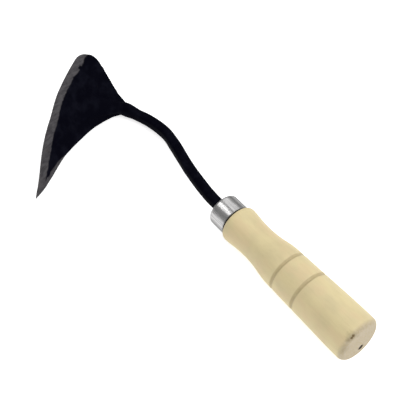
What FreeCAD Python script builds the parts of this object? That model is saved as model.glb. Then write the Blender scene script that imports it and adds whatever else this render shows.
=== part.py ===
import FreeCAD
import Part
import math
import os

# Hand hoe of the sickle kind, in mm, lying on its side as it is put down.
# Origin: middle of the handle's butt face. +X: out of the butt, along the handle. +Z: up.

# handle
handleLength = 125.6        # butt face to the wood's shoulder end
buttRadius = 17.5
buttRound = 4.0
seatLength = 16.0           # plain cylinder at the butt, round included
swellRadius = 16.3          # where the slow taper ends, before the waist
swellAt = 75.0
waistRadius = 13.6
waistAt = 99.5
shoulderRadius = 15.1
shoulderDrop = 3.8          # shoulder's crest to the shoulder's end
grooveAt = (47.8, 68.8)
grooveWidth = 2.6
grooveDepth = 0.6
spigotLength = 14.0

# ferrule
ferruleLength = 16.9        # shoulder's end to the ferrule's front, open joint included
ferruleRadius = 13.0
ferruleWall = 0.9
ferruleRound = 2.0
ferruleFit = 0.05           # gap all round the spigot
ferruleGap = 0.9            # open joint between ferrule and shoulder

# tang
tangWidth = 7.2             # where it enters the wood
tangEndLong = 4.0
tangEndShort = 1.5
tangEndY = 1.9              # its end comes out off the axis
tangEndZ = -8.1
tangSunk = 0.5              # its end lies this far under the butt face
tangFit = 0.15              # gap on each side
clinchLong = 5.4            # pocket round the tang's end
clinchShort = 2.6
clinchDeep = 1.4

# neck
neckStart = 8.4             # thickness at the ferrule
neckEnd = 8.8               # thickness at the blade
neckReach = 153.0           # ferrule's front to the knuckle, along X
neckBow = 18.4
neckSide = 8.9              # where the knuckle lies off the axis
neckDrop = 12.0
neckRound = 2.0
neckFit = 0.4               # gap between the neck and the ferrule's hole

# blade
bladeToe = 77.0             # from the blade's middle to the tip
bladeBack = 46.0            # from the middle to the heel's edge
bladeRise = 41.0            # from the middle up to the heel's top
heelRadius = 17.5
bladeFall = 25.5            # from the middle down to the tip
bladeFoot = 17.5            # from the middle down to the lower edge
bladeLean = 30.0            # degrees back from upright
bladeTurn = 17.1            # degrees round from square to the handle
bladeDish = 220.0           # radius of the hollow face
bladeThick = 2.8
bladeWedge = 4.6            # offset that thickens the root and thins the tip
bevelWidth = 5.6
bevelDeep = 1.3
knuckleProud = 2.4          # neck's middle in front of the hollow face
knuckleRadius = 11.0
fanTilt = 37.0              # degrees the spread root rises across the blade
fanSteps = (                # from the knuckle: distance, width, thickness, height over the hollow face
    (16.0, 15.5, 7.0, 3.4),
    (24.0, 20.0, 5.6, 1.8),
    (32.0, 24.0, 4.2, 0.6),
    (40.0, 27.0, 2.8, -0.2),
)

X = FreeCAD.Vector(1, 0, 0)
Y = FreeCAD.Vector(0, 1, 0)
Z = FreeCAD.Vector(0, 0, 1)


def vec(x, y, z):
    return FreeCAD.Vector(x, y, z)


def spline(points, start=None, end=None):
    curve = Part.BSplineCurve()
    if start is None:
        curve.interpolate(points)
    else:
        curve.interpolate(Points=points, InitialTangent=start, FinalTangent=end)
    return curve


def turned(edges):
    # solid of revolution about the handle's axis
    face = Part.Face(Part.Wire(edges))
    return face.revolve(vec(0, 0, 0), X, 360)


def barWire(centre, across, upward, wide, tall, corner):
    # rounded rectangle, its sides along across and upward
    a = wide / 2
    b = tall / 2
    k = corner * (1 - math.sqrt(0.5))

    def at(u, v):
        return centre + across * u + upward * v

    rows = []
    for su, sv in ((1, 1), (-1, 1), (-1, -1), (1, -1)):
        side = at(su * a, sv * (b - corner))
        top = at(su * (a - corner), sv * b)
        middle = at(su * (a - k), sv * (b - k))
        if su * sv > 0:
            rows.append((side, middle, top))
        else:
            rows.append((top, middle, side))
    edges = []
    for i in range(4):
        first, middle, last = rows[i]
        edges.append(Part.Arc(first, middle, last).toShape())
        edges.append(Part.makeLine(last, rows[(i + 1) % 4][0]))
    return Part.Wire(edges)


def handleShape():
    end = -handleLength
    crest = end + shoulderDrop
    spigot = ferruleRadius - ferruleWall - ferruleFit
    k = buttRound * (1 - math.sqrt(0.5))
    body = [
        Part.makeLine(vec(0, 0, 0), vec(0, buttRadius - buttRound, 0)),
        Part.Arc(vec(0, buttRadius - buttRound, 0), vec(-k, buttRadius - k, 0),
                 vec(-buttRound, buttRadius, 0)).toShape(),
        Part.makeLine(vec(-buttRound, buttRadius, 0), vec(-seatLength, buttRadius, 0)),
        Part.makeLine(vec(-seatLength, buttRadius, 0), vec(-swellAt, swellRadius, 0)),
    ]
    rise = waistAt - swellAt
    waist = spline(
        [
            vec(-swellAt, swellRadius, 0),
            vec(-swellAt - rise * 0.5, (swellRadius + waistRadius) / 2 - 0.3, 0),
            vec(-waistAt, waistRadius, 0),
            vec(crest, shoulderRadius, 0),
        ],
        vec(-4, -0.25, 0),
        vec(-4, 0.0, 0),
    )
    body.append(waist.toShape())
    nose = ferruleRadius + 0.2
    body.append(Part.Arc(vec(crest, shoulderRadius, 0),
                         vec(end + shoulderDrop * 0.25, shoulderRadius - (shoulderRadius - nose) * 0.4, 0),
                         vec(end, nose, 0)).toShape())
    body.append(Part.makeLine(vec(end, nose, 0), vec(end, spigot, 0)))
    body.append(Part.makeLine(vec(end, spigot, 0), vec(end - spigotLength, spigot, 0)))
    body.append(Part.makeLine(vec(end - spigotLength, spigot, 0), vec(end - spigotLength, 0, 0)))
    body.append(Part.makeLine(vec(end - spigotLength, 0, 0), vec(0, 0, 0)))
    wood = turned(body)
    for at in grooveAt:
        radius = buttRadius + (swellRadius - buttRadius) * (at - seatLength) / (swellAt - seatLength)
        # round-bottomed groove: a ring whose section is a circle of the groove's own radius
        half = grooveWidth / 2
        tool = (half * half + grooveDepth * grooveDepth) / (2 * grooveDepth)
        ring = Part.makeTorus(radius - grooveDepth + tool, tool, vec(-at, 0, 0), X)
        wood = wood.cut(ring)
    wood = wood.cut(tangShape(tangFit, 1.0))
    pocket = Part.makeLoft(
        [
            barWire(vec(-clinchDeep, tangEndY, tangEndZ), slitLong(), slitShort(),
                    clinchLong - 1.2, clinchShort - 1.2, 0.6),
            barWire(vec(1.0, tangEndY, tangEndZ), slitLong(), slitShort(), clinchLong, clinchShort, 0.6),
        ], True, True)
    return wood.cut(pocket)


def slitLong():
    return vec(0, 0.88, 0.47).normalize()


def slitShort():
    return X.cross(slitLong())


def tangShape(gap, past):
    # square at the front, a flat tongue at the butt; gap and past make the hole that holds it
    front = -handleLength - spigotLength
    stations = (
        (front - past, 0.0, tangWidth, tangWidth),
        (front + 40, 0.25, tangWidth * 0.82, tangWidth * 0.72),
        (front + 100, 0.75, tangWidth * 0.7, tangWidth * 0.42),
        (-tangSunk + past, 1.0, tangEndLong, tangEndShort),
    )
    wires = []
    for x, part, tall, wide in stations:
        middle = vec(x, tangEndY * part, tangEndZ * part)
        wires.append(barWire(middle, slitLong(), slitShort(), tall + 2 * gap, wide + 2 * gap, 0.5 + gap))
    return Part.makeLoft(wires, True, True)


def ferruleShape():
    front = -handleLength - ferruleLength
    rear = -handleLength - ferruleGap
    k = ferruleRound * (1 - math.sqrt(0.5))
    inner = ferruleRadius - ferruleWall
    innerRound = ferruleRound - ferruleWall
    ki = innerRound * (1 - math.sqrt(0.5))
    back = front + ferruleWall
    edges = [
        Part.makeLine(vec(front, 0, 0), vec(front, ferruleRadius - ferruleRound, 0)),
        Part.Arc(vec(front, ferruleRadius - ferruleRound, 0), vec(front + k, ferruleRadius - k, 0),
                 vec(front + ferruleRound, ferruleRadius, 0)).toShape(),
        Part.makeLine(vec(front + ferruleRound, ferruleRadius, 0), vec(rear, ferruleRadius, 0)),
        Part.makeLine(vec(rear, ferruleRadius, 0), vec(rear, inner, 0)),
        Part.makeLine(vec(rear, inner, 0), vec(back + innerRound, inner, 0)),
        Part.Arc(vec(back + innerRound, inner, 0), vec(back + ki, inner - ki, 0),
                 vec(back, inner - innerRound, 0)).toShape(),
        Part.makeLine(vec(back, inner - innerRound, 0), vec(back, 0, 0)),
        Part.makeLine(vec(back, 0, 0), vec(front, 0, 0)),
    ]
    cap = turned(edges)
    side = neckStart + 2 * neckFit
    hole = Part.makeLoft(
        [
            barWire(vec(front - 2, 0, 0), Y, Z, side, side, neckRound),
            barWire(vec(back + 2, 0, 0), Y, Z, side, side, neckRound),
        ], True, True)
    return cap.cut(hole)


def neckPath():
    front = -handleLength - ferruleLength
    shape = (
        (0.0, 0.0),
        (0.12, 0.027),
        (0.32, 0.315),
        (0.53, 0.775),
        (0.66, 1.0),
        (0.80, 0.955),
        (0.91, 0.72),
        (1.0, neckSide / neckBow),
    )
    points = []
    for part, bow in shape:
        drop = neckDrop * part * part * (3 - 2 * part)
        points.append(vec(front - neckReach * part, neckBow * bow, -drop))
    return spline(points)


def bladeAxes():
    lean = math.radians(bladeLean)
    turn = math.radians(bladeTurn)
    out = vec(math.cos(lean) * math.cos(turn), math.cos(lean) * math.sin(turn), math.sin(lean))
    toe = vec(math.sin(turn), -math.cos(turn), 0)
    rise = out.cross(toe)
    if rise.z < 0:
        rise = rise * -1
    return toe, rise, out


def rootPlace():
    # where the neck's end lies in the blade's own axes, along the blade and up it
    return 3.4 - bladeBack, 0.1 - bladeFoot


def dishAt(p, q):
    return bladeDish - math.sqrt(bladeDish * bladeDish - p * p - q * q)


def bladeMiddle():
    toe, rise, out = bladeAxes()
    path = neckPath()
    end = path.value(path.LastParameter)
    p, q = rootPlace()
    return end - toe * p - rise * q - out * (dishAt(p, q) + knuckleProud)


def bladeShape():
    toe, rise, out = bladeAxes()
    middle = bladeMiddle()
    deep = 60.0

    def at(p, q):
        return middle + toe * p + rise * q - out * deep / 2

    tip = at(bladeToe, -bladeFall)
    crown = at(-bladeBack * 0.475, bladeRise * 0.953)
    corner = at(-bladeBack * 0.99, bladeRise * 1.20)
    root = at(-bladeBack, -bladeFoot * 0.6)
    foot = at(-bladeBack * 0.80, -bladeFoot * 1.2)
    cutting = spline([
        tip,
        at(bladeToe * 0.543, 0.0),
        at(bladeToe * 0.094, bladeRise * 0.578),
        crown,
        corner,
    ])
    backEdge = Part.makeLine(corner, root)
    turn = Part.Arc(root, at(-bladeBack * 0.96, -bladeFoot * 1.05), foot).toShape()
    lower = spline([
        foot,
        at(-bladeBack * 0.2, -bladeFoot * 0.97),
        at(bladeToe * 0.31, -bladeFoot * 1.06),
        at(bladeToe * 0.65, -bladeFoot * 1.37),
        tip,
    ])
    outline = Part.Wire([cutting.toShape(), backEdge, turn, lower.toShape()])
    prism = Part.Face(outline).extrude(out * deep)
    hollow = middle + out * bladeDish
    inside = Part.makeSphere(bladeDish, hollow)
    rootway = (toe * -0.94 + rise * -0.34).normalize()
    outside = Part.makeSphere(bladeDish + bladeThick, hollow + rootway * bladeWedge)
    plate = prism.common(outside).cut(inside)
    # ground bevel on the hollow side, all along the cutting edge
    long = []
    for edge in plate.Edges:
        spot = edge.valueAt((edge.FirstParameter + edge.LastParameter) / 2)
        onFace = abs(spot.distanceToPoint(hollow) - bladeDish) < 0.01
        if onFace and (spot - middle).dot(rise) > 0 and edge.Length > bladeToe:
            long.append(edge)
    plate = plate.makeChamfer(bevelDeep, bevelWidth, long)
    # round off the heel
    centre = at(heelRadius - bladeBack, bladeRise - heelRadius)
    ray = (crown - centre) * 4
    far = ray.Length
    wedge = Part.makePolygon([
        centre,
        centre + ray,
        centre + ray - toe * far * 2,
        centre - toe * far,
        centre,
    ])
    disc = Part.makeCylinder(heelRadius, deep * 2, centre - out * deep / 2, out)
    return plate.cut(Part.Face(wedge).extrude(out * deep).cut(disc))


def neckShape():
    # one bar: along the neck, round the knuckle, then spread out flat into the hollow face
    toe, rise, out = bladeAxes()
    middle = bladeMiddle()
    path = neckPath()
    first = path.FirstParameter
    last = path.LastParameter
    corner = path.value(last)
    into = path.tangent(last)[0]
    way = (toe * math.cos(math.radians(fanTilt)) + rise * math.sin(math.radians(fanTilt))).normalize()
    bend = knuckleRadius * math.tan(into.getAngle(way) / 2)

    # each row: middle, direction of travel, thick way, width, thickness
    rows = [(vec(-handleLength - spigotLength, 0, 0), X * -1, Z, neckStart - 1.2, neckStart - 1.2)]
    stations = 9
    for i in range(stations):
        part = i / stations
        here = first + (last - first) * part
        size = neckStart + (neckEnd - neckStart) * part
        along = X * -1
        if i > 0:
            along = path.tangent(here)[0]
        rows.append((path.value(here), along, Z, size, size))
    split = len(rows)
    for part in (0.0, 0.25, 0.5, 0.75, 1.0):
        centre = corner - into * bend * (1 - part) ** 2 + way * bend * part ** 2
        along = (into * (1 - part) + way * part).normalize()
        thick = Z * (1 - part) + out * part
        rows.append((centre, along, thick, neckEnd * (1 + 0.2 * part), neckEnd * (1 - 0.12 * part)))
    p, q = rootPlace()
    for step, wide, deep, proud in fanSteps:
        pp = p + way.dot(toe) * step
        qq = q + way.dot(rise) * step
        centre = middle + toe * pp + rise * qq + out * (dishAt(pp, qq) + proud - deep / 2)
        rows.append((centre, way, out, wide, deep))
    wires = []
    for centre, along, thick, wide, deep in rows:
        across = along.cross(thick).normalize()
        upward = across.cross(along).normalize()
        wires.append(barWire(centre, across, upward, wide, deep, min(neckRound, deep * 0.3)))
    neck = Part.makeLoft(wires[:split + 1], True, False)
    bent = split + 4
    knuckle = Part.makeLoft(wires[split:bent + 1], True, False)
    fan = Part.makeLoft(wires[bent:], True, False)
    return neck.fuse(knuckle).fuse(fan)


def headShape():
    head = bladeShape()
    head = head.fuse(neckShape())
    head = head.fuse(tangShape(0.0, 0.0))
    return head.removeSplitter()


def main():
    os.makedirs("parts", exist_ok=True)
    shapes = {
        "handle": handleShape(),
        "ferrule": ferruleShape(),
        "forged_head": headShape(),
    }
    for name, shape in shapes.items():
        box = shape.BoundBox
        print(name, shape.ShapeType, len(shape.Solids), shape.isValid(), round(shape.Volume),
              [round(v, 1) for v in (box.XMin, box.XMax, box.YMin, box.YMax, box.ZMin, box.ZMax)])
        shape.exportStep("parts/" + name + ".step")


main()
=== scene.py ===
import math
import bpy
import bmesh
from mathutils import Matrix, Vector, noise


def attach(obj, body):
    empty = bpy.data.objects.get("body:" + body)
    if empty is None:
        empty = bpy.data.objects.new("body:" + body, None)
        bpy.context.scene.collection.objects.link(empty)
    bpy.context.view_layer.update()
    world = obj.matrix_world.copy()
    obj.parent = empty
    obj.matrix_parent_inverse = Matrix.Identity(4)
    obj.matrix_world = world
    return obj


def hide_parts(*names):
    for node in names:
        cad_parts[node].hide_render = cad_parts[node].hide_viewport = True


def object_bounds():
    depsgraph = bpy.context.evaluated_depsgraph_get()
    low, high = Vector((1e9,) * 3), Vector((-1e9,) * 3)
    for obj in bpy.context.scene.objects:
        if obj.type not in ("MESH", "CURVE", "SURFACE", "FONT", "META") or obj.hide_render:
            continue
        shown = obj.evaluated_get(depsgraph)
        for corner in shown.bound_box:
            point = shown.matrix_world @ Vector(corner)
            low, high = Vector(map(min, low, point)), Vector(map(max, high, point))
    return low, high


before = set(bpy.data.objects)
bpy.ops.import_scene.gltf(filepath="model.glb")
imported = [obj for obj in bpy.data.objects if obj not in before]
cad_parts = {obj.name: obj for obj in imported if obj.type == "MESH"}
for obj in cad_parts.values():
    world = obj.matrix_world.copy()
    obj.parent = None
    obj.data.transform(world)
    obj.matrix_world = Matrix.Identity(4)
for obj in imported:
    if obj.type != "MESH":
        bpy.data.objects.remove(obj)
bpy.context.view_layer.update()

mm = 0.001
scene = bpy.context.scene
scene.view_settings.view_transform = "Standard"


def smoothLine(points, count, between=24):
    # evenly spaced points on a smooth line through the given ones
    pts = [Vector(p) for p in points]
    ends = [pts[0] * 2 - pts[1]] + pts + [pts[-1] * 2 - pts[-2]]
    fine = []
    for i in range(len(pts) - 1):
        a, b, c, d = ends[i:i + 4]
        for k in range(between):
            t = k / between
            fine.append(0.5 * (2 * b + (c - a) * t + (2 * a - 5 * b + 4 * c - d) * t ** 2
                               + (3 * b - a - 3 * c + d) * t ** 3))
    fine.append(pts[-1])
    run = [0.0]
    for a, b in zip(fine, fine[1:]):
        run.append(run[-1] + (b - a).length)
    out, j = [], 0
    for i in range(count):
        want = run[-1] * i / (count - 1)
        while j < len(run) - 2 and run[j + 1] < want:
            j += 1
        step = run[j + 1] - run[j]
        out.append(fine[j].lerp(fine[j + 1], (want - run[j]) / step if step else 0))
    return out


def ease(x, low, high):
    t = min(max((x - low) / (high - low), 0), 1)
    return t * t * (3 - 2 * t)


def finishMesh(bm, name):
    # millimetres to metres, then an object at the origin
    bmesh.ops.scale(bm, vec=(mm, mm, mm), verts=bm.verts)
    mesh = bpy.data.meshes.new(name)
    bm.to_mesh(mesh)
    bm.free()
    obj = bpy.data.objects.new(name, mesh)
    scene.collection.objects.link(obj)
    for face in mesh.polygons:
        face.use_smooth = True
    return obj


def settle(obj):
    # makes the piece's modifiers part of its mesh
    bpy.context.view_layer.update()
    deps = bpy.context.evaluated_depsgraph_get()
    mesh = bpy.data.meshes.new_from_object(obj.evaluated_get(deps))
    obj.modifiers.clear()
    obj.data = mesh
    return obj


def cutWith(obj, cutter):
    cut = obj.modifiers.new("cut", "BOOLEAN")
    cut.operation = "DIFFERENCE"
    cut.solver = "EXACT"
    cut.object = cutter
    settle(obj)
    bpy.data.objects.remove(cutter)
    return obj


def turnedPiece(profile, steps):
    # a line of (place along the handle, radius) spun round the handle's axis
    bm = bmesh.new()
    verts = [bm.verts.new((x, r, 0)) for x, r in profile]
    edges = [bm.edges.new(pair) for pair in zip(verts, verts[1:])]
    bmesh.ops.spin(bm, geom=verts + edges, cent=(0, 0, 0), axis=(1, 0, 0), dvec=(0, 0, 0),
                   angle=math.tau, steps=steps, use_merge=True)
    bmesh.ops.remove_doubles(bm, verts=bm.verts, dist=0.002)
    bmesh.ops.recalc_face_normals(bm, faces=bm.faces)
    return bm


def soften(bm, verts, times):
    for _ in range(times):
        bmesh.ops.smooth_vert(bm, verts=verts, factor=0.5, use_axis_x=True, use_axis_y=True, use_axis_z=True)


def squareTo(long):
    # the way square to the handle's axis and to a given way
    return Vector((1, 0, 0)).cross(long)


def roundCorner(centre, radius, start, end, count):
    out = []
    for i in range(count + 1):
        a = math.radians(start + (end - start) * i / count)
        out.append((centre[0] + radius * math.cos(a), centre[1] + radius * math.sin(a)))
    return out


def sweepRings(bm, rows, sides, corner):
    # rounded-square rings pushed along a path; a row is middle, travel, thick way, width, thickness
    ring = bmesh.ops.create_circle(bm, cap_ends=False, radius=1, segments=sides)["verts"]
    angles = [math.atan2(v.co.y, v.co.x) for v in ring]
    capEdges = [e for e in bm.edges if all(v in ring for v in e.verts)]
    first = list(capEdges)
    for number, (middle, travel, thick, wide, deep) in enumerate(rows):
        if number:
            grown = bmesh.ops.extrude_edge_only(bm, edges=capEdges)["geom"]
            newVerts = [g for g in grown if isinstance(g, bmesh.types.BMVert)]
            # extruded vertices in the same order as the ring they came from
            near = {}
            for v in newVerts:
                for e in v.link_edges:
                    other = e.other_vert(v)
                    if other in ring:
                        near[other] = v
            ring = [near[v] for v in ring]
            capEdges = [g for g in grown if isinstance(g, bmesh.types.BMEdge)
                        and all(v in newVerts for v in g.verts)]
        travel = travel.normalized()
        across = travel.cross(thick).normalized()
        upward = across.cross(travel).normalized()
        for v, a in zip(ring, angles):
            c, s = math.cos(a), math.sin(a)
            reach = (abs(c) ** corner + abs(s) ** corner) ** (-1 / corner)
            v.co = middle + across * (c * reach * wide / 2) + upward * (s * reach * deep / 2)
    bmesh.ops.holes_fill(bm, edges=first + capEdges, sides=0)
    return bm


# millimetres; a place on the blade is given along it towards the tip, then up it
head = {
    "middle": (-297.3, -36.2, -0.6),   # middle of the blade's hollow face
    "lean": 30.0,                      # degrees back from upright
    "turn": 17.1,                      # degrees round from square to the handle
    "dish": 220.0,                     # radius of the hollow face
    "thick": 2.8,
    "wedge": 4.6,                      # thickens the root and thins the tip
    "rootWay": (-0.94, -0.34),         # towards the root, along the blade and up it
    "edgeLeft": 0.14,                  # share of the thickness left at the cutting edge
    "lowerLeft": 0.55,                 # and at the lower edge by the tip
    "cutting": ((-46.0, 22.0), (-44.2, 30.5), (-40.8, 36.6), (-35.8, 40.5), (-29.8, 41.5), (-22.9, 38.9),
                (-13.5, 34.4), (-3.3, 29.1), (6.2, 23.6), (18.9, 14.4), (28.2, 8.6), (40.9, -0.2),
                (56.6, -12.4), (66.0, -19.2), (77.2, -25.6)),
    "lower": ((-46.3, 22.0), (-47.0, 8.0), (-47.8, -3.5), (-48.7, -8.5), (-49.5, -13.0), (-49.6, -17.0),
              (-47.0, -20.6), (-42.5, -22.2), (-37.9, -21.9), (-31.5, -19.8), (-21.0, -18.0), (-9.0, -16.9),
              (8.0, -17.4), (24.0, -18.5), (37.2, -21.0), (50.0, -23.8), (63.5, -25.8), (77.2, -25.9)),
    "bladeSteps": (200, 84),
    # ground strip: place along the blade and width there
    "ground": ((-40.0, 0.0), (-36.5, 2.0), (-31.0, 6.4), (-24.0, 7.6), (-14.0, 6.2), (3.0, 5.8), (27.0, 6.7),
               (44.0, 7.2), (56.0, 6.4), (77.0, 5.0)),
    # how its inner side wanders: length, layer of the noise, reach
    "wander": ((5.5, 3.1, 0.7), (1.9, 7.7, 0.45)),
    "lowerGround": 3.6,                # width of the strip on the lower edge
    "lowerGroundFrom": (20, 42),       # it grows from nothing over this stretch
    "nick": (-26.6, 33.0),             # small pit in the strip, near the heel
    "nickSize": 2.0,
    "nickDeep": 0.5,
    "hammer": 0.2,                     # height of the hammer marks
    # hammer marks of two sizes: length, height, layer of the noise, share
    "hollowMarks": ((17, 15, 1.7, 1.0), (7, 6.5, 4.2, 0.5)),
    "backMarks": ((13, 12, 9.3, 1.0), (5, 5, 12, 0.4)),
    # shallow valley along the hollow face, gone before the tip
    "valleyWay": (0.35, 0.94),         # the way across it
    "valleyShift": 0.5,
    "valleyWidth": 9.0,
    "valleyFades": (12, -30),
    "valleyDeep": 0.5,
    "neck": ((-139.6, 0.0, 0.0), (-142.5, 0.0, 0.0), (-160.9, 0.5, -0.5), (-191.5, 5.8, -2.9),
             (-223.6, 14.3, -6.5), (-243.5, 18.4, -8.8), (-264.9, 17.5, -10.8), (-281.7, 13.2, -11.7),
             (-295.5, 8.9, -12.0)),
    "neckSteps": 60,
    "neckSides": 40,
    "neckStart": 8.2,
    "neckEnd": 8.3,
    "neckFuller": 0.8,                 # its middle is thicker by this much
    "neckCorner": 4.2,                 # higher is squarer
    "neckBeat": 16,                    # length of the dents left by forging
    "neckUneven": 0.45,
    "knuckle": 7.5,                    # the bend starts and ends this far from its corner
    "knuckleWider": 0.2,               # share by which the bar spreads round the knuckle
    "knuckleThinner": 0.12,
    "fanTilt": 37.0,                   # degrees the spread root rises across the blade
    # spread root from the knuckle: distance, width, thickness, height over the hollow face
    "fan": ((16.0, 15.5, 7.0, 3.4), (24.0, 20.0, 5.6, 1.8), (32.0, 24.0, 4.2, 0.6), (42.0, 27.0, 2.6, -0.4)),
    "fanSteps": 22,
    # flare where the neck runs into the blade: distance back up the neck, width, height, shift up the blade
    "flare": ((19.0, 8.4, 8.4, 0.0), (12.5, 9.8, 11.0, 0.3), (8.0, 10.6, 12.2, 0.3), (4.0, 11.2, 12.6, 0.0),
              (0.5, 10.8, 12.0, -0.1), (-2.5, 9.6, 11.0, -0.1)),
    "flareCorner": 2.6,
    "voxel": 0.49,
    # smoothing: reach from the root, passes; the last takes in the whole head
    "soften": ((15, 36), (24, 10), (400, 2)),
    "tangEnd": (1.9, -8.1),            # its end lies off the axis
    "tangWay": (0.88, 0.47),           # the long way of its beaten end
    # tang: place along the handle, share of the way to its end, long side, short side
    "tang": ((-141.0, 0, 7.2, 7.2), (-139.5, 0, 7.2, 7.2), (-99.6, 0.25, 5.9, 5.2), (-40, 0.75, 5.0, 3.0),
             (-0.7, 1, 3.3, 1.5), (-0.2, 1, 3.0, 1.2)),
}

lean = math.radians(head["lean"])
turn = math.radians(head["turn"])
outWay = Vector((math.cos(lean) * math.cos(turn), math.cos(lean) * math.sin(turn), math.sin(lean)))
toeWay = Vector((math.sin(turn), -math.cos(turn), 0))
riseWay = toeWay.cross(outWay)
if riseWay.z < 0:
    riseWay.negate()
bladeMiddle = Vector(head["middle"])
tangLong = Vector((0, *head["tangWay"])).normalized()


def bladeLine(name, count):
    return smoothLine([(p, q, 0) for p, q in head[name]], count)


cuttingLine = bladeLine("cutting", 320)
lowerLine = bladeLine("lower", 320)


def dishAt(p, q):
    return head["dish"] - math.sqrt(head["dish"] ** 2 - p * p - q * q)


def edgeGap(spot, line, stride=4):
    # distance to a line of points, and the nearest of them: every fourth first, then those about it
    best = min(range(0, len(line), stride), key=lambda i: (line[i] - spot).length_squared)
    near = range(max(best - stride, 0), min(best + stride + 1, len(line)))
    best = min(near, key=lambda i: (line[i] - spot).length_squared)
    return (line[best] - spot).length, line[best]


def lowerWidth(p):
    # narrower ground strip on the lower edge, near the tip only
    uneven = 1 + 0.25 * noise.noise(Vector((p / 3, 5.5, 2)))
    return head["lowerGround"] * ease(p, *head["lowerGroundFrom"]) * uneven


def groundWidth(p):
    # the ground strip starts at the heel's top, and its inner side wanders a little
    marks = head["ground"]
    if p <= marks[0][0]:
        return 0
    wide = marks[-1][1]
    for (a, wideA), (b, wideB) in zip(marks, marks[1:]):
        if a <= p < b:
            wide = wideA + (wideB - wideA) * (p - a) / (b - a)
            break
    wander = sum(reach * noise.noise(Vector((p / long, layer, 0))) for long, layer, reach in head["wander"])
    return max(wide + wander * min(1, wide / 4), 0)


def hammerMarks(p, q, marks):
    height = sum(share * noise.noise(Vector((p / long, q / tall, layer)))
                 for long, tall, layer, share in marks)
    return height * head["hammer"]


def hollowAt(p, q):
    # hammered height of the hollow face
    way = head["valleyWay"]
    off = (p * way[0] + q * way[1] + head["valleyShift"]) / head["valleyWidth"]
    valley = math.exp(-off ** 2) * ease(p, *head["valleyFades"]) * -head["valleyDeep"]
    return dishAt(p, q) + hammerMarks(p, q, head["hollowMarks"]) + valley


def backAt(p, q):
    # height of the back, further off at the root than at the tip
    way = head["rootWay"]
    lead = (p * way[0] + q * way[1]) * head["wedge"] / head["dish"]
    return dishAt(p, q) - head["thick"] - lead + hammerMarks(p, q, head["backMarks"])


def makeBlade(bm):
    across, up = head["bladeSteps"]
    grid = bmesh.ops.create_grid(bm, x_segments=across, y_segments=up, size=1)["verts"]
    low = bladeLine("lower", across + 1)
    high = bladeLine("cutting", across + 1)
    for v in grid:
        i = round((v.co.x + 1) / 2 * across)
        t = (v.co.y + 1) / 2
        v.co = low[i].lerp(high[i], t)
    bmesh.ops.remove_doubles(bm, verts=grid, dist=0.02)
    grown = bmesh.ops.extrude_face_region(bm, geom=list(bm.faces), use_keep_orig=True)["geom"]
    front = {g for g in grown if isinstance(g, bmesh.types.BMVert)}
    for v in bm.verts:
        p, q = v.co.x, v.co.y
        height = hollowAt(p, q) if v in front else backAt(p, q)
        v.co = bladeMiddle + toeWay * p + riseWay * q + outWay * height
    bmesh.ops.recalc_face_normals(bm, faces=bm.faces)


def grindEdges(bm):
    # bevels on the hollow side: the wall is thinned towards the back
    ground = bm.verts.layers.float.new("ground")
    nick = Vector((*head["nick"], 0))
    soft = 0.3
    for v in bm.verts:
        rel = v.co - bladeMiddle
        p, q, n = rel.dot(toeWay), rel.dot(riseWay), rel.dot(outWay)
        onBlade = -60 < p < 90 and abs(q) < 60 and abs(n - dishAt(p, q)) < 6
        if not onBlade:
            continue
        spot = Vector((p, q, 0))
        facing = v.normal.dot(outWay)
        back = backAt(p, q)
        gap, nearest = edgeGap(spot, cuttingLine)
        wide = groundWidth(nearest.x)
        lowGap, nearest = edgeGap(spot, lowerLine)
        lowWide = lowerWidth(nearest.x)
        nickSize = head["nickSize"] * (1 + 0.5 * noise.noise(spot * 0.9))
        pit = ease((spot - nick).length, nickSize, nickSize * 0.6)
        keep = 1
        if gap < wide:
            keep = head["edgeLeft"] + (1 - head["edgeLeft"]) * gap / wide
        if lowGap < lowWide:
            keep = min(keep, head["lowerLeft"] + (1 - head["lowerLeft"]) * lowGap / lowWide)
        if n > back:
            v.co += outWay * ((n - back) * (keep - 1) - head["nickDeep"] * pit * (facing > 0.3))
        if facing > 0.1:
            shade = ease(gap, wide + soft, wide - soft) if wide > 0.4 else 0
            if lowWide > 0.4:
                shade = max(shade, 0.8 * ease(lowGap, lowWide + soft, lowWide - soft))
            v[ground] = shade * (1 - pit)


def neckRows(line):
    # the curved bar from the ferrule to the knuckle
    up = Vector((0, 0, 1))
    last = len(line) - 1
    rows = []
    for i, middle in enumerate(line):
        if (middle - line[-1]).length < head["knuckle"]:
            break
        part = i / last
        travel = line[min(i + 1, last)] - line[max(i - 1, 0)]
        size = head["neckStart"] + (head["neckEnd"] - head["neckStart"]) * part
        size += head["neckFuller"] * math.sin(math.pi * part)
        beat = Vector((middle.x / head["neckBeat"], 0.3, 0.7))
        wide = size + head["neckUneven"] * noise.noise(beat)
        deep = size + head["neckUneven"] * noise.noise(beat + Vector((9, 4, 2)))
        rows.append((middle, travel, up, wide, deep))
    return rows


def knuckleRows(corner, into, way, steps=9):
    # round the bend, from the neck's own way to the spread root's
    up = Vector((0, 0, 1))
    start = corner - into * head["knuckle"]
    end = corner + way * head["knuckle"]
    rows = []
    for i in range(steps):
        t = i / (steps - 1)
        middle = start.lerp(corner, t).lerp(corner.lerp(end, t), t)
        wide = head["neckEnd"] * (1 + head["knuckleWider"] * t)
        deep = head["neckEnd"] * (1 - head["knuckleThinner"] * t)
        rows.append((middle, into.lerp(way, t), up.lerp(outWay, t), wide, deep))
    return rows


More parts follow.
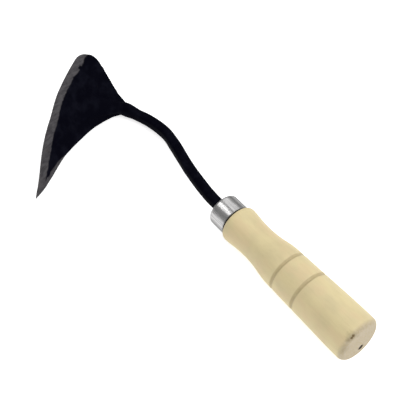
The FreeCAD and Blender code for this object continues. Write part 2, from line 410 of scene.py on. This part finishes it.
def fanRows(corner, way):
    # the root spreads out flat into the hollow face
    rel = corner - bladeMiddle
    p, q = rel.dot(toeWay), rel.dot(riseWay)
    wide = head["neckEnd"] * (1 + head["knuckleWider"])
    deep = head["neckEnd"] * (1 - head["knuckleThinner"])
    knots = [(head["knuckle"], wide, deep, rel.dot(outWay) - dishAt(p, q) + deep / 2)] + list(head["fan"])
    sizes = smoothLine([(k[0], k[1], k[2]) for k in knots], head["fanSteps"])
    heights = smoothLine([(k[0], k[3], 0) for k in knots], head["fanSteps"])
    rows = []
    for (step, wide, deep), (_, rise, _) in list(zip(sizes, heights))[1:]:
        a = p + way.dot(toeWay) * step
        b = q + way.dot(riseWay) * step
        middle = bladeMiddle + toeWay * a + riseWay * b + outWay * (dishAt(a, b) + rise - deep / 2)
        rows.append((middle, way, outWay, wide, deep))
    return rows


def makeNeck(bm):
    line = smoothLine(head["neck"], head["neckSteps"])
    corner = line[-1]
    into = (line[-1] - line[-4]).normalized()
    tilt = math.radians(head["fanTilt"])
    way = (toeWay * math.cos(tilt) + riseWay * math.sin(tilt)).normalized()
    rows = neckRows(line) + knuckleRows(corner, into, way) + fanRows(corner, way)
    sweepRings(bm, rows, head["neckSides"], head["neckCorner"])
    flare = [(corner - into * step + riseWay * lift, into, riseWay, wide, tall)
             for step, wide, tall, lift in head["flare"]]
    sweepRings(bm, flare, head["neckSides"], head["flareCorner"])


def makeTang():
    # square bar inside the wood, beaten flat where it shows in the butt
    bm = bmesh.new()
    y, z = head["tangEnd"]
    rows = [(Vector((x, y * part, z * part)), Vector((1, 0, 0)), squareTo(tangLong), tall, wide)
            for x, part, tall, wide in head["tang"]]
    sweepRings(bm, rows, 28, 6.0)
    bmesh.ops.recalc_face_normals(bm, faces=bm.faces)
    return bm


def makeHead():
    bm = bmesh.new()
    makeBlade(bm)
    blade = finishMesh(bm, "bladeShell")
    bm = bmesh.new()
    makeNeck(bm)
    bmesh.ops.recalc_face_normals(bm, faces=bm.faces)
    neck = finishMesh(bm, "neckShell")
    bm = bmesh.new()
    bm.from_mesh(blade.data)
    bm.from_mesh(neck.data)
    bpy.data.objects.remove(blade)
    bpy.data.objects.remove(neck)
    bmesh.ops.scale(bm, vec=(1 / mm,) * 3, verts=bm.verts)
    obj = finishMesh(bm, "forgedHead")
    one = obj.modifiers.new("one", "REMESH")
    one.mode = "VOXEL"
    one.voxel_size = head["voxel"] * mm
    one.adaptivity = 0
    settle(obj)
    bm = bmesh.new()
    bm.from_mesh(obj.data)
    bmesh.ops.scale(bm, vec=(1 / mm,) * 3, verts=bm.verts)
    # the two forms flow together at the root
    root = Vector(head["neck"][-1])
    for reach, times in head["soften"]:
        soften(bm, [v for v in bm.verts if (v.co - root).length < reach], times)
    bm.normal_update()
    grindEdges(bm)
    tang = makeTang()
    spare = bpy.data.meshes.new("tang")
    tang.to_mesh(spare)
    tang.free()
    bm.from_mesh(spare)
    obj.data.materials.clear()
    done = finishMesh(bm, "forgedHeadDone")
    obj.data = done.data
    bpy.data.objects.remove(done)
    return obj


forgedHead = makeHead()
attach(forgedHead, "root")
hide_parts("forged_head")
print("forged head made", len(forgedHead.data.polygons))


# millimetres from the butt face
cap = {
    "front": -142.5,
    "rear": -126.5,
    "radius": 13.0,
    "wall": 0.9,
    "round": 2.0,
    "holeSide": 9.2,
    "uneven": 0.06,
    "steps": 144,
}


def makeFerrule():
    r, w, k = cap["radius"], cap["wall"], cap["round"]
    front, rear = cap["front"], cap["rear"]
    lip = 0.3
    line = [(front, 0), (front, 4), (front, 7), (front, 9)]
    line += roundCorner((front + k, r - k), k, 180, 90, 8)
    for i in range(1, 12):
        line.append((front + k + (rear - front - k) * i / 12, r))
    line += roundCorner((rear - lip, r - lip), lip, 90, 0, 4)
    line += [(rear, r - w + 0.1), (rear - 0.1, r - w)]
    line += roundCorner((front + k, r - k), k - w, 90, 180, 5)
    line += [(front + w, 7), (front + w, 0)]
    bm = turnedPiece(line, cap["steps"])
    for v in bm.verts:
        out = Vector((0, v.co.y, v.co.z))
        if out.length > 5:
            v.co += out.normalized() * cap["uneven"] * noise.noise(v.co / 6)
    obj = finishMesh(bm, "ferruleCap")
    bm = bmesh.new()
    side = cap["holeSide"]
    rows = [(Vector((x, 0, 0)), Vector((1, 0, 0)), Vector((0, 0, 1)), side, side)
            for x in (front - 3, front + 4)]
    sweepRings(bm, rows, 32, 5.0)
    bmesh.ops.recalc_face_normals(bm, faces=bm.faces)
    return cutWith(obj, finishMesh(bm, "punch"))


ferrule = makeFerrule()
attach(ferrule, "root")
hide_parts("ferrule")
print("ferrule made", len(ferrule.data.polygons))


# millimetres, along the handle from the butt face
grip = {
    "length": 125.6,
    "buttRadius": 17.5,
    "buttRound": 4.0,
    "buttTilt": 0.07,
    "seat": 16.0,
    "swellAt": 75.0,
    "swellRadius": 16.3,
    "noseRadius": 13.2,
    "grooves": (47.8, 68.8),
    "grooveWidth": 2.6,
    "grooveDepth": 0.6,
    "spigot": 12.0,
    "spigotEnd": 139.6,
    # knots of the waist and the rolled shoulder: distance from the butt and radius
    "waist": ((78.8, 16.05), (84.0, 15.3), (90.5, 14.25), (99.5, 13.6), (110.0, 13.95), (117.0, 14.7),
              (121.8, 15.1)),
    "shoulder": ((123.1, 15.05), (124.0, 14.8), (124.7, 14.4), (125.2, 13.9), (125.5, 13.5)),
    # pocket round the tang's beaten end: place along the handle, long side, short side
    "pocket": ((-2.2, 3.4, 2.1), (-1.2, 3.7, 2.4), (-0.25, 4.0, 2.7), (1.8, 4.8, 3.4)),
    "uneven": 0.10,                    # sanded by hand, so never quite round
    "steps": 160,
}


def gripRadius(u):
    # radius at a distance u from the butt face, as far as the end of the slow taper
    g = grip
    if u < g["seat"]:
        return g["buttRadius"]
    r = g["buttRadius"] + (g["swellRadius"] - g["buttRadius"]) * (u - g["seat"]) / (g["swellAt"] - g["seat"])
    for at in g["grooves"]:
        x = abs(u - at) / (g["grooveWidth"] / 2)
        if x < 1:
            r -= g["grooveDepth"] * (1 - x * x)
    return r


def stepFrom(u):
    # fine steps in a groove, coarse ones elsewhere
    if min(abs(u - at) for at in grip["grooves"]) < grip["grooveWidth"] * 0.75:
        return 0.2
    if min(abs(u + 1.5 - at) for at in grip["grooves"]) > 2:
        return 1.5
    return 0.4


def handleLine():
    g = grip
    line = [(0, 0), (0, 3), (0, 6), (0, 9), (0, 11.5)]
    line += roundCorner((-g["buttRound"], g["buttRadius"] - g["buttRound"]), g["buttRound"], 0, 90, 10)
    u = g["buttRound"] + 1.5
    while u < g["swellAt"]:
        line.append((-u, gripRadius(u)))
        u += stepFrom(u)
    knots = ((g["swellAt"], g["swellRadius"]),) + g["waist"]
    line += [(v.x, v.y) for v in smoothLine([(-at, r, 0) for at, r in knots], 34)]
    line += [(-at, r) for at, r in g["shoulder"]]
    line += [(-g["length"], g["noseRadius"]), (-g["length"], g["spigot"])]
    end = -g["spigotEnd"]
    return line + [(end + 0.4, g["spigot"]), (end, g["spigot"] - 0.4), (end, 6), (end, 0)]


def makeHandle():
    g = grip
    bm = turnedPiece(handleLine(), g["steps"])
    for v in bm.verts:
        out = Vector((0, v.co.y, v.co.z))
        if out.length > 4 and v.co.x > -g["length"]:
            soft = noise.noise(Vector((v.co.x / 30, v.co.y / 12, v.co.z / 12)))
            v.co += out.normalized() * g["uneven"] * soft
        # the butt's lower half stands out a little
        v.co.x += g["buttTilt"] * max(0, 4 - v.co.z) * ease(v.co.x, -12, -1)
    obj = finishMesh(bm, "woodHandle")
    bm = bmesh.new()
    rows = [(Vector((x, *head["tangEnd"])), Vector((1, 0, 0)), squareTo(tangLong), tall, wide)
            for x, tall, wide in g["pocket"]]
    sweepRings(bm, rows, 32, 3.0)
    bmesh.ops.recalc_face_normals(bm, faces=bm.faces)
    return cutWith(obj, finishMesh(bm, "chisel"))


handle = makeHandle()
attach(handle, "root")
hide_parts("handle")
print("handle made", len(handle.data.polygons))


def newMaterial(name):
    mat = bpy.data.materials.new(name)
    mat.use_nodes = True
    tree = mat.node_tree
    tree.nodes.clear()
    out = tree.nodes.new("ShaderNodeOutputMaterial")
    shader = tree.nodes.new("ShaderNodeBsdfPrincipled")
    tree.links.new(shader.outputs["BSDF"], out.inputs["Surface"])
    place = tree.nodes.new("ShaderNodeTexCoord").outputs["Object"]
    return mat, tree, shader, place


def scaled(tree, place, size, shift=(0, 0, 0), turnBy=(0, 0, 0)):
    node = tree.nodes.new("ShaderNodeMapping")
    node.inputs["Scale"].default_value = size
    node.inputs["Location"].default_value = shift
    node.inputs["Rotation"].default_value = turnBy
    tree.links.new(place, node.inputs["Vector"])
    return node.outputs["Vector"]


def grainy(tree, vector, scale, detail=4, rough=0.55, twist=0.0):
    node = tree.nodes.new("ShaderNodeTexNoise")
    node.inputs["Scale"].default_value = scale
    node.inputs["Detail"].default_value = detail
    node.inputs["Roughness"].default_value = rough
    node.inputs["Distortion"].default_value = twist
    tree.links.new(vector, node.inputs["Vector"])
    return node.outputs["Fac"]


def sums(tree, operation, a, b=None, c=None, clamp=False):
    node = tree.nodes.new("ShaderNodeMath")
    node.operation = operation
    node.use_clamp = clamp
    for socket, value in zip(node.inputs, (a, b, c)):
        if value is None:
            continue
        if isinstance(value, (int, float)):
            socket.default_value = value
        else:
            tree.links.new(value, socket)
    return node.outputs[0]


def spread(tree, value, low, high, toLow=0.0, toHigh=1.0):
    node = tree.nodes.new("ShaderNodeMapRange")
    node.interpolation_type = "SMOOTHSTEP"
    node.inputs["From Min"].default_value = low
    node.inputs["From Max"].default_value = high
    node.inputs["To Min"].default_value = toLow
    node.inputs["To Max"].default_value = toHigh
    tree.links.new(value, node.inputs["Value"])
    return node.outputs["Result"]


def blendOf(tree, amount, a, b):
    node = tree.nodes.new("ShaderNodeMix")
    node.data_type = "RGBA"
    node.clamp_factor = True
    if isinstance(amount, (int, float)):
        node.inputs["Factor"].default_value = amount
    else:
        tree.links.new(amount, node.inputs["Factor"])
    for socket, value in ((node.inputs[6], a), (node.inputs[7], b)):
        if isinstance(value, tuple):
            socket.default_value = (*value, 1)
        else:
            tree.links.new(value, socket)
    return node.outputs[2]


def bumpOf(tree, height, depth, strength=1.0, before=None):
    node = tree.nodes.new("ShaderNodeBump")
    node.inputs["Strength"].default_value = strength
    node.inputs["Distance"].default_value = depth
    tree.links.new(height, node.inputs["Height"])
    if before is not None:
        tree.links.new(before, node.inputs["Normal"])
    return node.outputs["Normal"]


def tint(tree, colour, mask, share, paint):
    return blendOf(tree, sums(tree, "MULTIPLY", mask, share), colour, paint)


def spotMask(tree, place, centre, radius, soft, wobble, ragged=1.6):
    # 1 inside a blotch round a point, with an uneven rim
    node = tree.nodes.new("ShaderNodeVectorMath")
    node.operation = "DISTANCE"
    node.inputs[1].default_value = centre
    tree.links.new(place, node.inputs[0])
    shift = sums(tree, "SUBTRACT", wobble, 0.5)
    uneven = sums(tree, "MULTIPLY_ADD", shift, radius * ragged, node.outputs["Value"])
    return spread(tree, uneven, radius + soft, max(radius - soft, 0))


woodLook = {
    "pale": (0.690, 0.585, 0.330),
    "blush": (0.680, 0.535, 0.315),
    "mid": (0.605, 0.510, 0.295),
    "line": (0.43, 0.34, 0.175),
    "knot": (0.135, 0.090, 0.030),
    "groove": (0.36, 0.285, 0.15),
    # painted shadow for the open joint at the ferrule
    "joint": (0.030, 0.018, 0.010),
    # painted shade in the pocket round the tang's end
    "pocketShade": (0.010, 0.008, 0.006),
    "endGrain": (0.42, 0.355, 0.265),
    "roughness": (0.49, 0.67),         # between the grain lines and on them
    # how fine each pattern is along, across and up, and its share of the colour
    "driftScale": (36, 62, 62),
    "blushScale": (60, 85, 85),
    "blushShare": 0.6,
    "fineScale": (55, 1500, 1500),
    "fineShare": 0.28,
    "ringScale": (8, 300, 110),
    "ringTurn": 0.5,
    "ringShare": 0.06,
    "poreScale": (420, 4200, 4200),
    "poreShare": 0.35,
    "mottleScale": (300, 900, 900),
    "wobbleScale": 420,
    "crumbScale": 900,
    "sawn": (-0.0040, -0.0004),        # end grain starts and is full at these places
    # marks on the butt's rim, in metres: centre, radius, softness of the rim, share
    "knots": (((-0.0010, -0.0078, 0.0141), 0.0009, 0.0004), ((-0.0010, -0.0091, 0.0132), 0.0009, 0.0004)),
    "knotShare": 0.95,
    # the knot's brown halo, then painted shade on the rim's lower left
    "stainsAndShade": (((-0.0014, -0.0088, 0.0138), 0.0032, 0.0016, 0.24),
               ((-0.0008, -0.0134, 0.0040), 0.0036, 0.0026, 0.20)),
    "bruises": (((-0.0012, -0.0118, 0.0122), 0.0014, 0.0011, 0.35),
                ((-0.0001, -0.0040, 0.0112), 0.0013, 0.0011, 0.32)),
    "slitHalf": (0.0022, 0.0017),      # half its length and half its width
    "slitBottom": (-0.010, -0.008),
    "pocketShadeShare": 0.93,
    "grooveBand": (0.0019, 0.0008),    # darkening starts and is full this far from a groove's middle
    "grooveShare": 0.68,
    # where the painted shadow of the joint starts and is full
    "jointBand": (-0.1240, -0.1248),
    "shine": 0.35,
    "coat": 0.05,
    "coatRough": 0.35,
    # depth and strength of the relief
    "fineRelief": (0.00006, 0.5),
    "poreRelief": (0.00004, 0.4),
    "knotRelief": (0.0003, 0.5),
}


def layeredGrain(tree, place, fine, pores):
    # slow colour drift, then fine lines that run the handle's length
    look = woodLook
    drift = grainy(tree, scaled(tree, place, look["driftScale"]), 1.0, 3)
    colour = blendOf(tree, spread(tree, drift, 0.35, 0.7), look["pale"], look["mid"])
    blush = grainy(tree, scaled(tree, place, look["blushScale"], shift=(3, 1, 2)), 1.0, 2)
    colour = blendOf(tree, spread(tree, blush, 0.46, 0.66, 0, look["blushShare"]), colour, look["blush"])
    colour = blendOf(tree, spread(tree, fine, 0.52, 0.8, 0, look["fineShare"]), colour, look["line"])
    turned = scaled(tree, place, look["ringScale"], turnBy=(look["ringTurn"], 0, 0))
    rings = grainy(tree, turned, 1.0, 2, 0.5, 0.3)
    colour = blendOf(tree, spread(tree, rings, 0.48, 0.66, 0, look["ringShare"]), colour, look["line"])
    return blendOf(tree, spread(tree, pores, 0.66, 0.76, 0, look["poreShare"]), colour, look["line"])


def sawnButt(tree, place, along, colour):
    # the sawn butt shows end grain, greyer and mottled
    look = woodLook
    mottle = grainy(tree, scaled(tree, place, look["mottleScale"]), 1.0, 4, 0.7)
    ends = blendOf(tree, spread(tree, mottle, 0.4, 0.68), look["endGrain"], look["line"])
    sawn = spread(tree, along, *look["sawn"])
    patches = spread(tree, mottle, 0.2, 0.6, 0.55, 1.0)
    return blendOf(tree, sums(tree, "MULTIPLY", sawn, patches), colour, ends)


def pocketShadeMask(tree, place, along):
    # painted shade in the pocket round the tang's end
    y, z = head["tangEnd"]
    longY, longZ = head["tangWay"]
    turned = tree.nodes.new("ShaderNodeMapping")
    turned.vector_type = "TEXTURE"
    turned.inputs["Location"].default_value = (0, y * mm, z * mm)
    turned.inputs["Rotation"].default_value = (math.atan2(longZ, longY), 0, 0)
    turned.inputs["Scale"].default_value = (0.1, *woodLook["slitHalf"])   # depth hardly counts
    tree.links.new(place, turned.inputs["Vector"])
    reach = tree.nodes.new("ShaderNodeVectorMath")
    reach.operation = "LENGTH"
    tree.links.new(turned.outputs["Vector"], reach.inputs[0])
    return sums(tree, "MULTIPLY", spread(tree, reach.outputs["Value"], 1.15, 0.95),
                spread(tree, along, *woodLook["slitBottom"]))


def grooveDarkening(tree, along, wobble):
    darkening = None
    for at in grip["grooves"]:
        away = sums(tree, "ABSOLUTE", sums(tree, "ADD", along, at * mm))
        band = spread(tree, away, *woodLook["grooveBand"], 0, woodLook["grooveShare"])
        darkening = band if darkening is None else sums(tree, "MAXIMUM", darkening, band)
    return sums(tree, "MULTIPLY", darkening, spread(tree, wobble, 0.2, 0.6, 0.7, 1.0))


def woodFinish():
    look = woodLook
    mat, tree, shader, place = newMaterial("paleHardwood")
    split = tree.nodes.new("ShaderNodeSeparateXYZ")
    tree.links.new(place, split.inputs[0])
    along = split.outputs["X"]
    wobble = grainy(tree, place, look["wobbleScale"], 3)
    crumbs = grainy(tree, place, look["crumbScale"], 2)
    fine = grainy(tree, scaled(tree, place, look["fineScale"]), 1.0, 5, 0.65)
    pores = grainy(tree, scaled(tree, place, look["poreScale"]), 1.0, 2, 0.5)
    colour = layeredGrain(tree, place, fine, pores)
    colour = sawnButt(tree, place, along, colour)
    # knot, its halo, bruises and a patch of painted shade on the rim of the butt
    knot = sums(tree, "MAXIMUM", *[spotMask(tree, place, *spot, crumbs) for spot in look["knots"]])
    # the knot's halo, and painted shade on the rim's lower left
    for *spot, share in look["stainsAndShade"]:
        colour = tint(tree, colour, spotMask(tree, place, *spot, crumbs), share, look["knot"])
    colour = tint(tree, colour, knot, look["knotShare"], look["knot"])
    for *spot, share in look["bruises"]:
        colour = tint(tree, colour, spotMask(tree, place, *spot, wobble), share, look["knot"])
    # painted shade in the pocket round the tang's end
    colour = tint(tree, colour, pocketShadeMask(tree, place, along), look["pocketShadeShare"], look["pocketShade"])
    # darker in and beside the grooves
    colour = blendOf(tree, grooveDarkening(tree, along, wobble), colour, look["groove"])
    # painted shadow in the open joint at the ferrule
    joint = sums(tree, "MULTIPLY", spread(tree, along, *look["jointBand"]),
                 spread(tree, wobble, 0.2, 0.5, 0.85, 1.0), clamp=True)
    colour = blendOf(tree, joint, colour, look["joint"])
    tree.links.new(colour, shader.inputs["Base Color"])
    rough = spread(tree, fine, 0.3, 0.8, *look["roughness"])
    tree.links.new(rough, shader.inputs["Roughness"])
    shader.inputs["Specular IOR Level"].default_value = look["shine"]
    shader.inputs["Coat Weight"].default_value = look["coat"]
    shader.inputs["Coat Roughness"].default_value = look["coatRough"]
    bump = bumpOf(tree, fine, *look["fineRelief"])
    bump = bumpOf(tree, pores, *look["poreRelief"], bump)
    bump = bumpOf(tree, sums(tree, "SUBTRACT", 1.0, knot), *look["knotRelief"], bump)
    tree.links.new(bump, shader.inputs["Normal"])
    return mat


steelLook = {
    "bright": (0.57, 0.565, 0.56),
    "dull": (0.34, 0.335, 0.335),
    # one colour for the painted shadow by the wood and for the tarnish round the neck's hole
    "tarnishAndShadow": (0.13, 0.115, 0.10),
    "tint": (0.35, 0.35, 0.35),
    "roughness": (0.21, 0.41),         # between the drawing marks and on them
    "drawnScale": (45, 1300, 1300),
    "polishedScale": (3800, 60, 60),
    "polishedShare": 0.25,
    "cloudScale": 170,
    "cloudShare": 0.3,
    # painted shadow along the rim by the wood, tarnish round the neck's hole: where it starts, where it is
    # full, share, patchiness
    "tarnishAndShadowBands": ((-0.1280, -0.1265, 0.6, 0.3), (-0.1412, -0.1424, 0.45, 0.35)),
    "drawnRelief": (0.00004, 0.6),
    "cloudRelief": (0.00005, 0.12),
}


def steelFinish():
    look = steelLook
    mat, tree, shader, place = newMaterial("drawnSteel")
    # drawing marks along the cap, finer polishing lines round it
    drawn = grainy(tree, scaled(tree, place, look["drawnScale"]), 1.0, 4, 0.6)
    polished = grainy(tree, scaled(tree, place, look["polishedScale"]), 1.0, 3, 0.6)
    cloud = grainy(tree, place, look["cloudScale"], 4)
    colour = blendOf(tree, spread(tree, drawn, 0.36, 0.68), look["bright"], look["dull"])
    for pattern, share in ((polished, look["polishedShare"]), (cloud, look["cloudShare"])):
        colour = blendOf(tree, spread(tree, pattern, 0.55, 0.75, 0, share), colour, look["dull"])
    split = tree.nodes.new("ShaderNodeSeparateXYZ")
    tree.links.new(place, split.inputs[0])
    # the first band is painted shadow by the wood's shoulder, the second tarnish round the neck's hole
    for start, full, share, patch in look["tarnishAndShadowBands"]:
        band = spread(tree, split.outputs["X"], start, full, 0, share)
        patches = spread(tree, cloud, patch, 0.7)
        colour = blendOf(tree, sums(tree, "MULTIPLY", band, patches), colour, look["tarnishAndShadow"])
    tree.links.new(colour, shader.inputs["Base Color"])
    shader.inputs["Metallic"].default_value = 1.0
    shader.inputs["Specular Tint"].default_value = (*look["tint"], 1)
    rough = spread(tree, drawn, 0.3, 0.75, *look["roughness"])
    tree.links.new(rough, shader.inputs["Roughness"])
    bump = bumpOf(tree, drawn, *look["drawnRelief"])
    bump = bumpOf(tree, cloud, *look["cloudRelief"], bump)
    tree.links.new(bump, shader.inputs["Normal"])
    return mat


forgedLook = {
    "scale": (0.0020, 0.0020, 0.0046),
    "worn": (0.0052, 0.0055, 0.0100),
    "ground": (0.078, 0.074, 0.078),
    "groundDark": (0.042, 0.040, 0.044),
    "rust": (0.050, 0.032, 0.022),
    "roughness": (0.46, 0.66),
    "shine": 0.005,
    "bareMetal": 0.55,                 # how metallic the ground strip is
    "cloudScale": 90,
    "fleckScale": 900,
    "fleckShare": 0.5,
    "streakScale": (160, 160, 700),
    "streakTurn": (0.4, 0.5, 0.2),
    "rustShare": 0.25,
    "cloudRelief": (0.0004, 0.35),
    "fleckRelief": (0.00008, 0.5),
}


def forgedFinish():
    look = forgedLook
    mat, tree, shader, place = newMaterial("blackForgeScale")
    cloud = grainy(tree, place, look["cloudScale"], 5, 0.6)
    fleck = grainy(tree, place, look["fleckScale"], 4, 0.6)
    colour = blendOf(tree, spread(tree, cloud, 0.42, 0.72), look["scale"], look["worn"])
    colour = blendOf(tree, spread(tree, fleck, 0.64, 0.8, 0, look["fleckShare"]), colour, look["worn"])
    # ground strip: streaks square to the cutting edge
    mask = tree.nodes.new("ShaderNodeAttribute")
    mask.attribute_name = "ground"
    streak = grainy(tree, scaled(tree, place, look["streakScale"], turnBy=look["streakTurn"]), 1.0, 4, 0.6)
    bare = blendOf(tree, spread(tree, streak, 0.35, 0.7), look["ground"], look["groundDark"])
    bare = blendOf(tree, spread(tree, cloud, 0.6, 0.74, 0, look["rustShare"]), bare, look["rust"])
    patches = spread(tree, fleck, 0.25, 0.42, 0.75, 1.0)
    patchy = sums(tree, "MULTIPLY", mask.outputs["Fac"], patches, clamp=True)
    colour = blendOf(tree, patchy, colour, bare)
    tree.links.new(colour, shader.inputs["Base Color"])
    tree.links.new(sums(tree, "MULTIPLY", patchy, look["bareMetal"]), shader.inputs["Metallic"])
    rough = spread(tree, cloud, 0.3, 0.75, *look["roughness"])
    tree.links.new(rough, shader.inputs["Roughness"])
    shader.inputs["Specular IOR Level"].default_value = look["shine"]
    bump = bumpOf(tree, cloud, *look["cloudRelief"])
    bump = bumpOf(tree, fleck, *look["fleckRelief"], bump)
    tree.links.new(bump, shader.inputs["Normal"])
    return mat


def dress(obj, mat):
    obj.data.materials.clear()
    obj.data.materials.append(mat)


dress(handle, woodFinish())
dress(ferrule, steelFinish())
dress(forgedHead, forgedFinish())
print("finishes made")


studio = {
    "floor": (0.70, 0.70, 0.70),
    "floorGlow": 0.72,
    "floorRough": 0.9,
    "floorShine": 0.1,
    "floorSize": 6,
    "sky": 0.34,
    "aim": (-0.16, -0.03, 0.0),        # what the lights point at
    # lights: name, place, size, power
    "lights": (("top", (0.40, 0.32, 1.20), 1.9, 20),
               ("key", (-0.75, -0.37, 1.02), 0.35, 1.5),
               ("fill", (-0.80, 0.72, 1.15), 1.0, 3)),
    "lens": 60.6,
    "cameraPlace": (0.1219, -0.2168, 0.3992),
    "cameraAngles": (40.61, 0.0, 52.51),
}


def makeFloor():
    # just under the lowest piece
    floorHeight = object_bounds()[0][2] - 0.0002
    bm = bmesh.new()
    bmesh.ops.create_grid(bm, x_segments=1, y_segments=1, size=studio["floorSize"])
    bmesh.ops.translate(bm, vec=(0, 0, floorHeight), verts=bm.verts)
    mesh = bpy.data.meshes.new("floor")
    bm.to_mesh(mesh)
    bm.free()
    obj = bpy.data.objects.new("floor", mesh)
    scene.collection.objects.link(obj)
    return obj


def floorFinish():
    mat, _, shader, _ = newMaterial("paleFloor")
    shader.inputs["Base Color"].default_value = (*studio["floor"], 1)
    shader.inputs["Roughness"].default_value = studio["floorRough"]
    shader.inputs["Specular IOR Level"].default_value = studio["floorShine"]
    shader.inputs["Emission Color"].default_value = (1, 1, 1, 1)
    shader.inputs["Emission Strength"].default_value = studio["floorGlow"]
    return mat


def areaLight(name, place, size, power):
    data = bpy.data.lights.new(name, "AREA")
    data.size = size
    data.energy = power
    obj = bpy.data.objects.new(name, data)
    obj.location = place
    obj.rotation_euler = (Vector(studio["aim"]) - Vector(place)).to_track_quat("-Z", "Y").to_euler()
    scene.collection.objects.link(obj)


floor = makeFloor()
dress(floor, floorFinish())

world = bpy.data.worlds.new("studio")
world.use_nodes = True
sky = world.node_tree.nodes["Background"]
sky.inputs["Color"].default_value = (1, 1, 1, 1)
sky.inputs["Strength"].default_value = studio["sky"]
scene.world = world
for light in studio["lights"]:
    areaLight(*light)

camera = bpy.data.cameras.new("camera")
camera.lens = studio["lens"]
camera.sensor_width = 36
camera.clip_start = 0.01
cameraObject = bpy.data.objects.new("camera", camera)
cameraObject.location = studio["cameraPlace"]
cameraObject.rotation_euler = [math.radians(a) for a in studio["cameraAngles"]]
scene.collection.objects.link(cameraObject)
scene.camera = cameraObject
print("studio ready")
